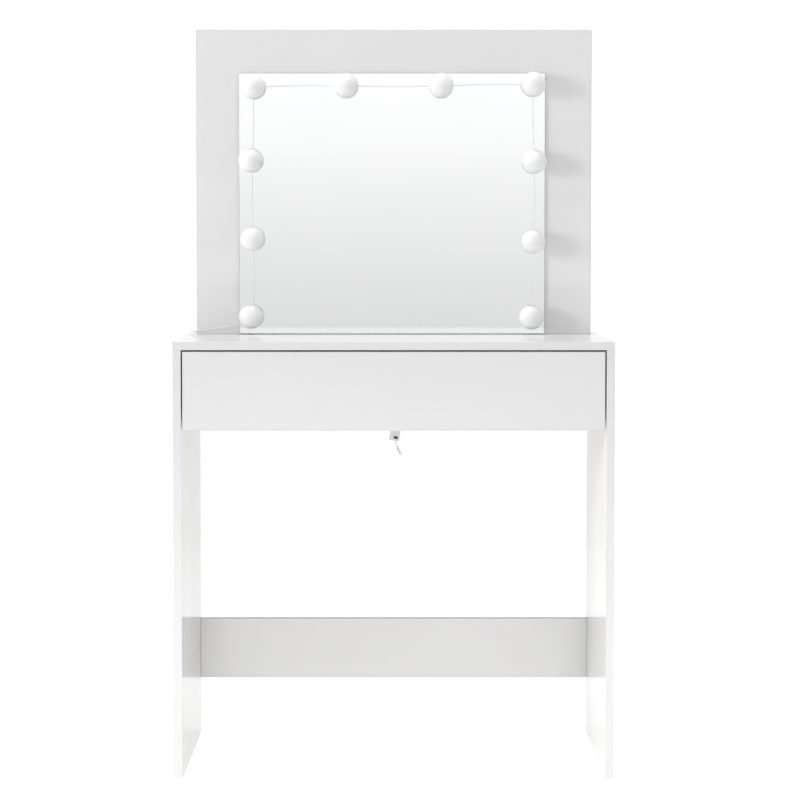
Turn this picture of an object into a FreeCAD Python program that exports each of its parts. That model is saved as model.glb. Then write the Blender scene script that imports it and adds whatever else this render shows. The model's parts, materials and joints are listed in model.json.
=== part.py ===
import FreeCAD, Part
import math
import os
import re
from collections import namedtuple

import Sketcher

# Vanity table with a lit mirror: two side panels, a top, two rails, one drawer on roller slides,
# and a mirror board on the top with ten globe lamps on its glass.
# Millimetres, +X right, +Y to the rear, +Z up. The origin is on the floor at the middle of the table.

V = FreeCAD.Vector
doc = FreeCAD.newDocument("VanityTable")

# ---------------------------------------------------------------- driving dimensions

DIMENSIONS = {
    # case
    "table_width": 800,
    "table_depth": 400,
    "panel": 15,
    "edge_round": 0.8,
    "glide_height": 2,
    "glide_diameter": 14,
    "side_height": 783,
    "back_rail_height": 170,
    "back_rail_inset": 15,
    "lower_rail_height": 119,
    "lower_rail_bottom": 111.5,
    # mirror board and glass
    "mirror_board_width": 770,
    "mirror_board_height": 592,
    "mirror_board_setback": 328,
    "mirror_width": 595,
    "mirror_height": 506.5,
    "mirror_offset": -3.3,
    "mirror_lift": 1,
    "glass": 3,
    "tape": 0.5,
    "tape_width": 25,
    "tape_height": 470,
    "tape_spacing": 136,
    # drawer
    "front_height": 143,
    "front_gap_top": 2.8,
    "front_gap_side": 2.5,
    "drawer_side_height": 100,
    "drawer_side_length": 350,
    "drawer_back_height": 95,
    "drawer_box_bottom": 654,
    "drawer_sheet": 3,
    "groove_width": 3.2,
    "groove_depth": 5,
    "groove_height": 12,
    # roller slides
    "slide_gap": 12.5,
    "slide_length": 350,
    "slide_sheet": 1.2,
    "slide_flange": 10,
    "slide_wrap": 14,
    "slide_height": 21.4,
    "slide_drop": 0.8,
    "slide_setback": 18,
    "drawer_flange": 9.5,
    "drawer_web": 18.65,
    "roller_radius": 8,
    "roller_width": 6.7,
    "roller_inset": 12,
    "roller_bore": 4.1,
    "roller_play": 0.05,
    "pin_diameter": 4,
    "pin_head": 6.4,
    "rail_screw_height": 11.5,
    # fittings
    "cam_diameter": 14.8,
    "cam_bore": 15,
    "cam_depth": 12,
    "cam_reach": 24,
    "bolt_thread": 5,
    "bolt_stem": 6.4,
    "bolt_bore": 7,
    "dowel_diameter": 8,
    "dowel_length": 30,
    "dowel_depth": 10,
    # lamps
    "globe_radius": 23.75,
    "globe_wall": 1.5,
    "lamp_height": 38,
    "lamp_pad": 1,
    "lamp_base_height": 8,
    "lamp_base_radius": 22.3,
    "lamp_spigot_radius": 20.7,
    "lamp_spigot": 3,
    "lamp_pad_radius": 20,
    "wire_height": 2.2,
    "wire_diameter": 1.6,
    # lead and its switch box
    "lead_diameter": 2.2,
    "box_width": 20,
    "box_height": 45,
    "box_thickness": 10,
    "box_x": 4.2,
    "box_bottom": 585,
    "box_tilt": 9,
    "button_width": 8,
    "button_height": 4.4,
    "button_shift": 2.3,
    "button_drop": 15.5,
    "button_depth": 6.5,
    "plug_diameter": 5,
    "plug_length": 13.5,
}

# Lamps in the order of the wire that joins them, each with the place of its centre on the glass.
LAMPS = {
    "lamp_left_low": (-277.5, 835),
    "lamp_left_mid": (-274.5, 986),
    "lamp_left_high": (-277.5, 1138.5),
    "lamp_top_1": (-272.5, 1281),
    "lamp_top_2": (-92.5, 1283),
    "lamp_top_3": (92.5, 1283),
    "lamp_top_4": (271, 1285.5),
    "lamp_right_high": (273.5, 1136),
    "lamp_right_mid": (271.5, 981),
    "lamp_right_low": (268, 833.5),
}
for lamp_name, (lamp_x, lamp_z) in LAMPS.items():
    DIMENSIONS[lamp_name + "_x"] = lamp_x
    DIMENSIONS[lamp_name + "_z"] = lamp_z

sheet = doc.addObject("Spreadsheet::Sheet", "Dims")
for row, (alias, number) in enumerate(DIMENSIONS.items(), start=1):
    sheet.set(f"A{row}", alias)
    sheet.set(f"B{row}", str(number))
    sheet.setAlias(f"B{row}", alias)
doc.recompute()

# Places worked out from the driving dimensions, as expressions in the table's frame.
SIDE = "(table_width / 2 - panel)"
UNDER_TOP = "(glide_height + side_height)"
TABLE_TOP = "(glide_height + side_height + panel)"
FRONT = "(-table_depth / 2)"
REAR = "(table_depth / 2)"
BACK_RAIL_REAR = "(table_depth / 2 - back_rail_inset)"
BACK_RAIL_BOTTOM = "(glide_height + side_height - back_rail_height)"
BOARD_FRONT = "(mirror_board_setback - table_depth / 2)"
GLASS_FRONT = "(mirror_board_setback - table_depth / 2 - tape - glass)"
BOX_SIDE = "(table_width / 2 - panel - slide_gap)"
BOX_INNER = "(table_width / 2 - 2 * panel - slide_gap)"
DRAWER_FRONT_REAR = "(panel - table_depth / 2)"
SLIDE_FRONT = "(slide_setback - table_depth / 2)"
TRACK = "(drawer_box_bottom + slide_drop + slide_sheet)"
LAMP_MIDDLE = "(lamp_height - globe_radius)"


def cell(word):
    """A word of an expression: an alias becomes a reference to its cell."""
    return "Dims." + word.group() if word.group() in DIMENSIONS else word.group()


def cells(text):
    return re.sub(r"[a-z][a-z_0-9]*", cell, text)


def value(text):
    """The number that an expression comes to."""
    return float(sheet.evalExpression(cells(text)))


def bind(target, name, text):
    target.setExpression(name, cells(text))


def place(target, x, y, z):
    for axis, text in zip("xyz", (x, y, z)):
        bind(target, ".Placement.Base." + axis, text)


# ---------------------------------------------------------------- sketches and features

PLANES = ("YZ_Plane", "XZ_Plane", "XY_Plane")
NORMALS = (1, -1, 1)
Block = namedtuple("Block", "body corner size")


def origin_feature(body, role):
    return next(feature for feature in body.Origin.OriginFeatures if feature.Role == role)


def in_plane(axis, point):
    return [text for number, text in enumerate(point) if number != axis]


def sketch_across(body, name, axis, level):
    """A sketch square to an axis (0, 1 or 2) of the body, at a level along it."""
    sketch = body.newObject("Sketcher::SketchObject", name)
    sketch.AttachmentSupport = [(origin_feature(body, PLANES[axis]), "")]
    sketch.MapMode = "FlatFace"
    bind(sketch, "AttachmentOffset.Base.z", f"{NORMALS[axis]} * ({level})")
    return sketch


def pin_point(sketch, geometry, end, x, y):
    """Holds a point of the sketch at the place that two expressions give."""
    for kind, text, axis_line in (("DistanceX", x, -2), ("DistanceY", y, -1)):
        if text == "0":
            sketch.addConstraint(Sketcher.Constraint("PointOnObject", geometry, end, axis_line))
            continue
        number = sketch.addConstraint(Sketcher.Constraint(kind, -1, 1, geometry, end, value(text)))
        bind(sketch, f"Constraints[{number}]", text)


def draw_polygon(sketch, corners):
    points = [V(value(x), value(y), 0) for x, y in corners]
    count = len(points)
    first = sketch.GeometryCount
    for number in range(count):
        sketch.addGeometry(Part.LineSegment(points[number], points[(number + 1) % count]), False)
    for number in range(count):
        sketch.addConstraint(
            Sketcher.Constraint("Coincident", first + number, 2, first + (number + 1) % count, 1)
        )
    for number, (x, y) in enumerate(corners):
        pin_point(sketch, first + number, 1, x, y)


def draw_rectangle(sketch, low, high):
    draw_polygon(sketch, [(low[0], low[1]), (high[0], low[1]), (high[0], high[1]), (low[0], high[1])])


def draw_circle(sketch, centre, diameter):
    circle = Part.Circle(V(value(centre[0]), value(centre[1]), 0), V(0, 0, 1), value(diameter) / 2)
    geometry = sketch.addGeometry(circle, False)
    pin_point(sketch, geometry, 3, *centre)
    number = sketch.addConstraint(Sketcher.Constraint("Diameter", geometry, value(diameter)))
    bind(sketch, f"Constraints[{number}]", diameter)


def draw_cross(sketch, centre, reach, half_width):
    """The outline of a cross recess."""
    arm = [(half_width, reach), (half_width, half_width), (reach, half_width)]
    quarters = [(1, 1, arm), (1, -1, arm[::-1]), (-1, -1, arm), (-1, 1, arm[::-1])]
    corners = []
    for right, up, points in quarters:
        for x, y in points:
            corners.append((f"{centre[0]} + {right * x}", f"{centre[1]} + {up * y}"))
    draw_polygon(sketch, corners)


def pad(body, sketch, axis, direction, length):
    feature = body.newObject("PartDesign::Pad", sketch.Name + "_pad")
    feature.Profile = sketch
    feature.Reversed = direction != NORMALS[axis]
    bind(feature, "Length", length)
    return feature


def pocket(body, sketch, axis, direction, depth):
    feature = body.newObject("PartDesign::Pocket", sketch.Name + "_pocket")
    feature.Profile = sketch
    feature.Reversed = direction == NORMALS[axis]
    bind(feature, "Length", depth)
    return feature


def round_edges(body, feature, radius):
    doc.recompute()
    fillet = body.newObject("PartDesign::Fillet", "edges")
    fillet.Base = (feature, [f"Edge{number + 1}" for number in range(len(feature.Shape.Edges))])
    bind(fillet, "Radius", radius)


def new_body(label):
    body = doc.addObject("PartDesign::Body", label)
    body.Label = label
    return body


def make_block(label, corner, size, radius="edge_round"):
    """A board or plate with softly rounded edges, its low corner at the given place."""
    body = new_body(label)
    outline = sketch_across(body, "outline", 2, "0")
    draw_rectangle(outline, ("0", "0"), size[:2])
    round_edges(body, pad(body, outline, 2, 1, size[2]), radius)
    place(body, *corner)
    return Block(body, corner, size)


# Each face of a block: the axis square to it, and the way into the block along that axis.
FACES = {
    "left": (0, 1),
    "right": (0, -1),
    "front": (1, 1),
    "rear": (1, -1),
    "bottom": (2, 1),
    "top": (2, -1),
}


def face_sketch(block, face, name):
    axis, inward = FACES[face]
    return sketch_across(block.body, name, axis, "0" if inward > 0 else block.size[axis])


def local(block, face, point):
    """A point of the table's frame as sketch coordinates on a face of the block."""
    corner = block.corner
    return in_plane(FACES[face][0], [f"({text}) - ({start})" for text, start in zip(point, corner)])


def bore(block, face, name, centres, diameter, depth):
    """Round holes of one depth in a face of a block, at places in the table's frame."""
    axis, inward = FACES[face]
    sketch = face_sketch(block, face, name)
    for centre in centres:
        draw_circle(sketch, local(block, face, centre), diameter)
    pocket(block.body, sketch, axis, inward, depth)


def cut_groove(block, face, name, low, high):
    """A groove for the drawer bottom, between two places in the table's frame."""
    axis, inward = FACES[face]
    sketch = face_sketch(block, face, name)
    draw_rectangle(sketch, local(block, face, low), local(block, face, high))
    pocket(block.body, sketch, axis, inward, "groove_depth")


def turn(body, axis, direction, centre, stages, name="turned"):
    """Coaxial cylinders from a centre along an axis: each stage is its start, length and diameter."""
    features = []
    for number, (start, length, diameter) in enumerate(stages):
        level = f"{centre[axis]} + {direction} * ({start})"
        sketch = sketch_across(body, f"{name}_{number}", axis, level)
        draw_circle(sketch, in_plane(axis, centre), diameter)
        features.append(pad(body, sketch, axis, direction, length))
    return features


CROSS_HALF_WIDTH = 0.7
SMALL_CROSS = 3


def recess(body, axis, direction, centre, reach):
    """A cross recess cut in the direction given, from a head's face."""
    sketch = sketch_across(body, "drive", axis, centre[axis])
    draw_cross(sketch, in_plane(axis, centre), reach, CROSS_HALF_WIDTH)
    depth = CROSS_HALF_WIDTH if reach < SMALL_CROSS else 2 * CROSS_HALF_WIDTH
    return pocket(body, sketch, axis, direction, str(depth))


AXES = ("X_Axis", "Y_Axis", "Z_Axis")


def repeat(body, features, rows, mirror=True):
    """Repeats features along axes, each row an (axis, spacing, count), then mirrors them left to right."""
    grid = body.newObject("PartDesign::MultiTransform", "set")
    steps = []
    for axis, spacing, count in rows:
        step = doc.addObject("PartDesign::LinearPattern", "row")
        step.Direction = (origin_feature(body, AXES[axis]), [""])
        step.Occurrences = count
        bind(step, "Length", f"({spacing}) * {count - 1}")
        steps.append(step)
    if mirror:
        flip = doc.addObject("PartDesign::Mirrored", "flip")
        flip.MirrorPlane = (origin_feature(body, "YZ_Plane"), [""])
        steps.append(flip)
    grid.Originals = features
    grid.Transformations = steps
    body.Tip = grid


def compound(label, members):
    group = doc.addObject("Part::Compound", label)
    group.Label = label
    group.Links = members
    return group


# ---------------------------------------------------------------- fittings

CAM_SINK = 0.2
CAM_SLOT = 7.0
CAM_SLOT_START = 3.6
CAM_SLOT_DEPTH = 7.8
CAM_SLOT_BACK = 4
CAM_CROSS = 4
BOLT_THREAD_LENGTH = 10.5
BOLT_NECK = 3.6
BOLT_NECK_LENGTH = 5.6
BOLT_HEAD_REACH = 2
THREAD_BORE_DEPTH = "11.5"
PLAY = 0.1
CAM_BORE_DEPTH = "cam_depth + 0.5"
THREAD_BORE = f"bolt_thread + {PLAY}"
DOWEL_BORE = f"dowel_diameter + {PLAY}"
DOWEL_LONG_BORE = "dowel_length - dowel_depth + 1"
DOWEL_SHORT_BORE = "dowel_depth + 1"


def cam_locks(name, axis, inward, centre, bolt_axis, bolt_side, rows):
    """Cam discs let into a face; the bolt comes in along bolt_axis from the side given."""
    body = new_body(name)
    disc = turn(
        body, axis, inward, centre, [(str(CAM_SINK), f"cam_depth - {CAM_SINK}", "cam_diameter")]
    )
    slot = sketch_across(body, "slot", axis, f"{centre[axis]} + {inward * CAM_SLOT_START}")
    low = list(centre)
    high = list(centre)
    side_axis = 3 - axis - bolt_axis
    low[side_axis] = f"{centre[side_axis]} - {CAM_SLOT / 2}"
    high[side_axis] = f"{centre[side_axis]} + {CAM_SLOT / 2}"
    low[bolt_axis] = f"{centre[bolt_axis]} - {bolt_side * CAM_SLOT_BACK}"
    high[bolt_axis] = f"{centre[bolt_axis]} + {bolt_side} * cam_diameter"
    draw_rectangle(slot, in_plane(axis, low), in_plane(axis, high))
    slot_cut = pocket(body, slot, axis, inward, str(CAM_SLOT_DEPTH))
    face = list(centre)
    face[axis] = f"{centre[axis]} + {inward * CAM_SINK}"
    drive = recess(body, axis, inward, face, CAM_CROSS)
    repeat(body, disc + [slot_cut, drive], rows)
    return body


def cam_bolts(name, axis, direction, joint, rows):
    """Bolts screwed into one board at a joint and reaching the cams in the other along direction."""
    body = new_body(name)
    neck_start = f"cam_reach - {BOLT_HEAD_REACH + BOLT_NECK_LENGTH}"
    stages = [
        (str(-BOLT_THREAD_LENGTH), str(BOLT_THREAD_LENGTH), "bolt_thread"),
        ("0", neck_start, "bolt_stem"),
        (neck_start, str(BOLT_NECK_LENGTH), str(BOLT_NECK)),
        (f"cam_reach - {BOLT_HEAD_REACH}", str(2 * BOLT_HEAD_REACH), "bolt_stem"),
    ]
    repeat(body, turn(body, axis, direction, joint, stages), rows)
    return body


def dowels(name, axis, direction, joint, rows, mirror=True):
    """Dowels across a joint, sunk a little in one board and the rest in the other along direction."""
    body = new_body(name)
    stages = [("-dowel_depth", "dowel_length", "dowel_diameter")]
    repeat(body, turn(body, axis, direction, joint, stages), rows, mirror)
    return body


def mirrored(point):
    return [("-(" + point[0] + ")",) + tuple(point[1:]), tuple(point)]


def spread(points, axis, spacing, count=2):
    """The points repeated along an axis, as the fittings at them are."""
    found = []
    for point in points:
        for number in range(count):
            moved = list(point)
            moved[axis] = f"{point[axis]} + ({spacing}) * {number}"
            found.append(tuple(moved))
    return found


def cam_joint(board, mate, board_face, entry_face, mate_face, cams, entries, dowel_points):
    """Bores for cams, bolts and dowels in a board, and for bolts and dowels in the board it joins."""
    tag = board.body.Name
    bore(board, board_face, "cams", cams, "cam_bore", CAM_BORE_DEPTH)
    bore(board, entry_face, "stems", entries, "bolt_bore", "cam_reach")
    bore(board, entry_face, "dowels", dowel_points, DOWEL_BORE, DOWEL_LONG_BORE)
    bore(mate, mate_face, f"threads_{tag}", entries, THREAD_BORE, THREAD_BORE_DEPTH)
    bore(mate, mate_face, f"dowels_{tag}", dowel_points, DOWEL_BORE, DOWEL_SHORT_BORE)


# ---------------------------------------------------------------- case panels

side_panels = {}
for side_name, left_edge in (("left", "-table_width / 2"), ("right", SIDE)):
    side_panels[side_name] = make_block(
        f"{side_name}_side_panel",
        (left_edge, FRONT, "glide_height"),
        ("panel", "table_depth", "side_height"),
    )
table_top = make_block(
    "table_top",
    ("-table_width / 2", FRONT, UNDER_TOP),
    ("table_width", "table_depth", "panel"),
)
back_rail = make_block(
    "back_rail",
    ("-" + SIDE, BACK_RAIL_REAR + " - panel", BACK_RAIL_BOTTOM),
    ("table_width - 2 * panel", "panel", "back_rail_height"),
)
lower_rail = make_block(
    "lower_rail",
    ("-" + SIDE, REAR + " - panel", "lower_rail_bottom"),
    ("table_width - 2 * panel", "panel", "lower_rail_height"),
)
mirror_board = make_block(
    "mirror_board",
    ("-mirror_board_width / 2", BOARD_FRONT, TABLE_TOP),
    ("mirror_board_width", "panel", "mirror_board_height"),
)

# The top on the sides: cams open to the inside, bolts hang from the top.
SIDE_MIDDLE = SIDE + " + panel / 2"
TOP_CAM_START = "-140"
TOP_CAM_SPACING = "280"
TOP_DOWEL_START = "-100"
TOP_DOWEL_SPACING = "200"
top_cam = ("-" + SIDE, TOP_CAM_START, UNDER_TOP + " - cam_reach")
top_entry = (f"-({SIDE_MIDDLE})", TOP_CAM_START, UNDER_TOP)
top_dowel = (f"-({SIDE_MIDDLE})", TOP_DOWEL_START, UNDER_TOP)
for side_name, inner_face, index in (("left", "right", 0), ("right", "left", 1)):
    cam_joint(
        side_panels[side_name],
        table_top,
        inner_face,
        "top",
        "bottom",
        spread([mirrored(top_cam)[1 - index]], 1, TOP_CAM_SPACING),
        spread([mirrored(top_entry)[1 - index]], 1, TOP_CAM_SPACING),
        spread([mirrored(top_dowel)[1 - index]], 1, TOP_DOWEL_SPACING),
    )
TOP_CAM_ROWS = [(1, TOP_CAM_SPACING, 2)]
cam_lock_sets = [cam_locks("top_cam_locks", 0, -1, top_cam, 2, 1, TOP_CAM_ROWS)]
cam_bolt_sets = [cam_bolts("top_cam_bolts", 2, -1, top_entry, TOP_CAM_ROWS)]
dowel_sets = [dowels("top_dowels", 2, -1, top_dowel, [(1, TOP_DOWEL_SPACING, 2)])]

# The rails between the sides: cams open to the rear, bolts stand in the side panels.
Rail = namedtuple("Rail", "block rear cam_start cam_spacing")
rails = {
    "back": Rail(back_rail, BACK_RAIL_REAR, BACK_RAIL_BOTTOM + " + 40", "90"),
    "lower": Rail(lower_rail, REAR, "lower_rail_bottom + 29", "60"),
}
for rail_name, rail in rails.items():
    middle = rail.rear + " - panel / 2"
    cam = (f"-({SIDE} - cam_reach)", rail.rear, rail.cam_start)
    entry = ("-" + SIDE, middle, rail.cam_start)
    dowel = ("-" + SIDE, middle, f"{rail.cam_start} + {rail.cam_spacing} / 2")
    cams = spread(mirrored(cam), 2, rail.cam_spacing)
    bore(rail.block, "rear", "cams", cams, "cam_bore", CAM_BORE_DEPTH)
    for side_name, inner_face, index in (("left", "right", 0), ("right", "left", 1)):
        entries = spread([mirrored(entry)[1 - index]], 2, rail.cam_spacing)
        dowel_point = [mirrored(dowel)[1 - index]]
        bore(rail.block, side_name, f"stems_{side_name}", entries, "bolt_bore", "cam_reach")
        bore(rail.block, side_name, f"dowels_{side_name}", dowel_point, DOWEL_BORE, DOWEL_LONG_BORE)
        side = side_panels[side_name]
        bore(side, inner_face, f"threads_{rail_name}", entries, THREAD_BORE, THREAD_BORE_DEPTH)
        bore(side, inner_face, f"dowels_{rail_name}", dowel_point, DOWEL_BORE, DOWEL_SHORT_BORE)
    rows = [(2, rail.cam_spacing, 2)]
    cam_lock_sets.append(cam_locks(f"{rail_name}_cam_locks", 1, -1, cam, 0, -1, rows))
    cam_bolt_sets.append(cam_bolts(f"{rail_name}_cam_bolts", 0, 1, entry, rows))
    dowel_sets.append(dowels(f"{rail_name}_dowels", 0, 1, dowel, []))

# The mirror board on the top: long screws from below, dowels between them, and two angle brackets behind.
BOARD_MIDDLE = BOARD_FRONT + " + panel / 2"
board_screw = ("-320", BOARD_MIDDLE, UNDER_TOP)
BOARD_SCREW_SPACING = "200"
screw_places = mirrored(board_screw) + mirrored(("-120", BOARD_MIDDLE, UNDER_TOP))
BOARD_SCREW_HOLE = "5.2"
bore(table_top, "bottom", "screw_heads", screw_places, "10", "3.4")
bore(table_top, "bottom", "screw_holes", screw_places, BOARD_SCREW_HOLE, "panel")
bore(mirror_board, "bottom", "screw_holes", screw_places, BOARD_SCREW_HOLE, "36")
mirror_board_screws = new_body("mirror_board_screws")
BOARD_SCREW_STAGES = [("0.3", "3", "9.6"), ("0.3", "49", "5")]
board_screw_parts = turn(mirror_board_screws, 2, 1, board_screw, BOARD_SCREW_STAGES)
board_screw_face = board_screw[:2] + (UNDER_TOP + " + 0.3",)
board_screw_parts.append(recess(mirror_board_screws, 2, 1, board_screw_face, 2.6))
repeat(mirror_board_screws, board_screw_parts, [(0, BOARD_SCREW_SPACING, 2)])

board_dowel = ("-220", BOARD_MIDDLE, TABLE_TOP)
BOARD_DOWEL_SPACING = "220"
dowel_places = spread([board_dowel], 0, BOARD_DOWEL_SPACING, 3)
bore(table_top, "top", "dowels_board", dowel_places, DOWEL_BORE, DOWEL_SHORT_BORE)
bore(mirror_board, "bottom", "dowels", dowel_places, DOWEL_BORE, DOWEL_LONG_BORE)
board_dowel_rows = [(0, BOARD_DOWEL_SPACING, 3)]
dowel_sets.append(dowels("board_dowels", 2, 1, board_dowel, board_dowel_rows, mirror=False))
case_cam_locks = compound("case_cam_locks", cam_lock_sets)
case_cam_bolts = compound("case_cam_bolts", cam_bolt_sets)
case_dowels = compound("case_dowels", dowel_sets)

BRACKET_X = 250
BRACKET_WIDTH = 40
BRACKET_LEG = 40
BRACKET_SHEET = 2
BRACKET_HOLE = 24
BRACKET_HOLE_HALF_SPACING = 10
BOARD_REAR = BOARD_FRONT + " + panel"
angle_brackets = []
for side_name, side in (("left", -1), ("right", 1)):
    bracket = new_body(f"{side_name}_angle_bracket")
    start = side * BRACKET_X - BRACKET_WIDTH / 2
    profile = sketch_across(bracket, "profile", 0, str(start))
    draw_polygon(profile, [
        (BOARD_REAR, TABLE_TOP),
        (f"{BOARD_REAR} + {BRACKET_LEG}", TABLE_TOP),
        (f"{BOARD_REAR} + {BRACKET_LEG}", f"{TABLE_TOP} + {BRACKET_SHEET}"),
        (f"{BOARD_REAR} + {BRACKET_SHEET}", f"{TABLE_TOP} + {BRACKET_SHEET}"),
        (f"{BOARD_REAR} + {BRACKET_SHEET}", f"{TABLE_TOP} + {BRACKET_LEG}"),
        (BOARD_REAR, f"{TABLE_TOP} + {BRACKET_LEG}"),
    ])
    pad(bracket, profile, 0, 1, str(BRACKET_WIDTH))
    for axis, name in ((1, "wall_holes"), (2, "top_holes")):
        level = BOARD_REAR if axis == 1 else TABLE_TOP
        holes = sketch_across(bracket, name, axis, level)
        for shift in (-BRACKET_HOLE_HALF_SPACING, BRACKET_HOLE_HALF_SPACING):
            across = f"{side * BRACKET_X + shift}"
            reach = f"{TABLE_TOP} + {BRACKET_HOLE}" if axis == 1 else f"{BOARD_REAR} + {BRACKET_HOLE}"
            draw_circle(holes, (across, reach), "4.4")
        pocket(bracket, holes, axis, 1, str(BRACKET_SHEET))
    angle_brackets.append(bracket)

BRACKET_SCREW_HEAD = 2.2
BRACKET_SCREW = [(str(-BRACKET_SCREW_HEAD), str(BRACKET_SCREW_HEAD), "8"), ("0", "14", "4")]
BRACKET_SCREW_SPACING = str(2 * BRACKET_HOLE_HALF_SPACING)
outer_hole = str(-BRACKET_X - BRACKET_HOLE_HALF_SPACING)
bracket_holes = {
    "wall": (1, (outer_hole, f"{BOARD_REAR} + {BRACKET_SHEET}", f"{TABLE_TOP} + {BRACKET_HOLE}")),
    "top": (2, (outer_hole, f"{BOARD_REAR} + {BRACKET_HOLE}", f"{TABLE_TOP} + {BRACKET_SHEET}")),
}
bracket_screw_sets = []
for name, (axis, hole) in bracket_holes.items():
    screws = new_body(f"bracket_{name}_screws")
    face = list(hole)
    face[axis] += f" + {BRACKET_SCREW_HEAD}"
    parts = turn(screws, axis, -1, hole, BRACKET_SCREW)
    parts.append(recess(screws, axis, -1, face, BRACKET_SCREW_HEAD))
    repeat(screws, parts, [(0, BRACKET_SCREW_SPACING, 2)])
    bracket_screw_sets.append(screws)
    inner_hole = (f"{hole[0]} + {BRACKET_SCREW_SPACING}",) + hole[1:]
    pilot_holes = mirrored(hole) + mirrored(inner_hole)
    block, board_side = (mirror_board, "rear") if name == "wall" else (table_top, "top")
    bore(block, board_side, "bracket_pilots", pilot_holes, "4.2", "12.5")
bracket_screws = compound("bracket_screws", bracket_screw_sets)

# Foot glides: a disc with a nail, two under each side panel.
GLIDE_INSET = 30
GLIDE_NAIL = ("glide_height", "12", "2.4")
glides = []
for side_name, side in (("left", -1), ("right", 1)):
    for end_name, end in (("front", -1), ("rear", 1)):
        glide = new_body(f"{side_name}_{end_name}_glide")
        centre = (f"{side} * ({SIDE_MIDDLE})", f"{end} * (table_depth / 2 - {GLIDE_INSET})", "0")
        turn(glide, 2, 1, centre, [("0", "glide_height", "glide_diameter"), GLIDE_NAIL])
        bore(side_panels[side_name], "bottom", f"nail_{end_name}", [centre], "2.6", "13")
        glides.append(glide)

# ---------------------------------------------------------------- mirror glass and tape

mirror_glass = make_block(
    "mirror_glass",
    ("mirror_offset - mirror_width / 2", GLASS_FRONT, TABLE_TOP + " + mirror_lift"),
    ("mirror_width", "glass", "mirror_height"),
    "0.5",
)
mirror_tape = new_body("mirror_tape")
strip = sketch_across(mirror_tape, "strip", 1, BOARD_FRONT)
strip_left = "mirror_offset - 1.5 * tape_spacing - tape_width / 2"
draw_rectangle(
    strip,
    (strip_left, TABLE_TOP + " + 20"),
    (strip_left + " + tape_width", TABLE_TOP + " + 20 + tape_height"),
)
strip_pad = pad(mirror_tape, strip, 1, -1, "tape")
repeat(mirror_tape, [strip_pad], [(0, "tape_spacing", 4)], mirror=False)

# ---------------------------------------------------------------- lamps

OUTWARD = FreeCAD.Rotation(V(1, 0, 0), 90)


def primitive(kind, name, **sizes):
    shape = doc.addObject("Part::" + kind, name)
    for prop, text in sizes.items():
        bind(shape, prop, text)
    return shape


def boolean(kind, name, base, tool):
    joined = doc.addObject("Part::" + kind, name)
    joined.Base = base
    joined.Tool = tool
    return joined


def mount_on_glass(shape, lamp):
    """Turns a lamp part's own +Z to the viewer and puts it at its lamp's place on the glass."""
    shape.Placement = FreeCAD.Placement(V(0, 0, 0), OUTWARD)
    place(shape, lamp + "_x", GLASS_FRONT, lamp + "_z")


def lamp_globe(lamp):
    """A hollow frosted globe, cut flat where it meets its base."""
    cut_angle = f"-asin(({LAMP_MIDDLE} - lamp_base_height) / globe_radius)"
    outer = primitive("Sphere", lamp + "_outer", Radius="globe_radius", Angle1=cut_angle)
    inner = primitive("Sphere", lamp + "_inner", Radius="globe_radius - globe_wall")
    for ball in (outer, inner):
        place(ball, "0", "0", LAMP_MIDDLE)
    globe = boolean("Cut", lamp, outer, inner)
    mount_on_glass(globe, lamp)
    return globe


def lamp_base(lamp):
    """A plastic disc with a spigot that centres the globe."""
    disc = primitive(
        "Cylinder", lamp + "_disc", Radius="lamp_base_radius", Height="lamp_base_height - lamp_pad"
    )
    place(disc, "0", "0", "lamp_pad")
    spigot = primitive(
        "Cylinder", lamp + "_spigot", Radius="lamp_spigot_radius", Height="lamp_spigot"
    )
    place(spigot, "0", "0", "lamp_base_height")
    base = boolean("Fuse", lamp + "_base", disc, spigot)
    mount_on_glass(base, lamp)
    return base


def lamp_pad(lamp):
    """The round adhesive pad between a lamp's base and the glass."""
    disc = primitive("Cylinder", lamp + "_adhesive", Radius="lamp_pad_radius", Height="lamp_pad")
    mount_on_glass(disc, lamp)
    return disc


globes = [lamp_globe(lamp) for lamp in LAMPS]
lamp_bases = compound("lamp_bases", [lamp_base(lamp) for lamp in LAMPS])
lamp_pads = compound("lamp_pads", [lamp_pad(lamp) for lamp in LAMPS])

# ---------------------------------------------------------------- drawer

drawer_front = make_block(
    "drawer_front",
    (f"-({SIDE} - front_gap_side)", FRONT, f"{UNDER_TOP} - front_gap_top - front_height"),
    (f"2 * ({SIDE} - front_gap_side)", "panel", "front_height"),
)
drawer_sides = {}
for side_name, left_edge in (("left", "-" + BOX_SIDE), ("right", BOX_INNER)):
    drawer_sides[side_name] = make_block(
        f"drawer_{side_name}_side",
        (left_edge, DRAWER_FRONT_REAR, "drawer_box_bottom"),
        ("panel", "drawer_side_length", "drawer_side_height"),
    )
BOX_REAR = f"({DRAWER_FRONT_REAR} + drawer_side_length)"
drawer_back = make_block(
    "drawer_back",
    ("-" + BOX_INNER, BOX_REAR + " - panel", "drawer_box_bottom"),
    (f"2 * {BOX_INNER}", "panel", "drawer_back_height"),
)
SHEET_REACH = "groove_depth - 0.5"
drawer_bottom = make_block(
    "drawer_bottom",
    (
        f"-({BOX_INNER} + {SHEET_REACH})",
        f"{DRAWER_FRONT_REAR} - ({SHEET_REACH})",
        "drawer_box_bottom + groove_height + 0.1",
    ),
    (
        f"2 * ({BOX_INNER} + {SHEET_REACH})",
        f"drawer_side_length - panel + 2 * ({SHEET_REACH})",
        "drawer_sheet",
    ),
    "0.2",
)

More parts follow.
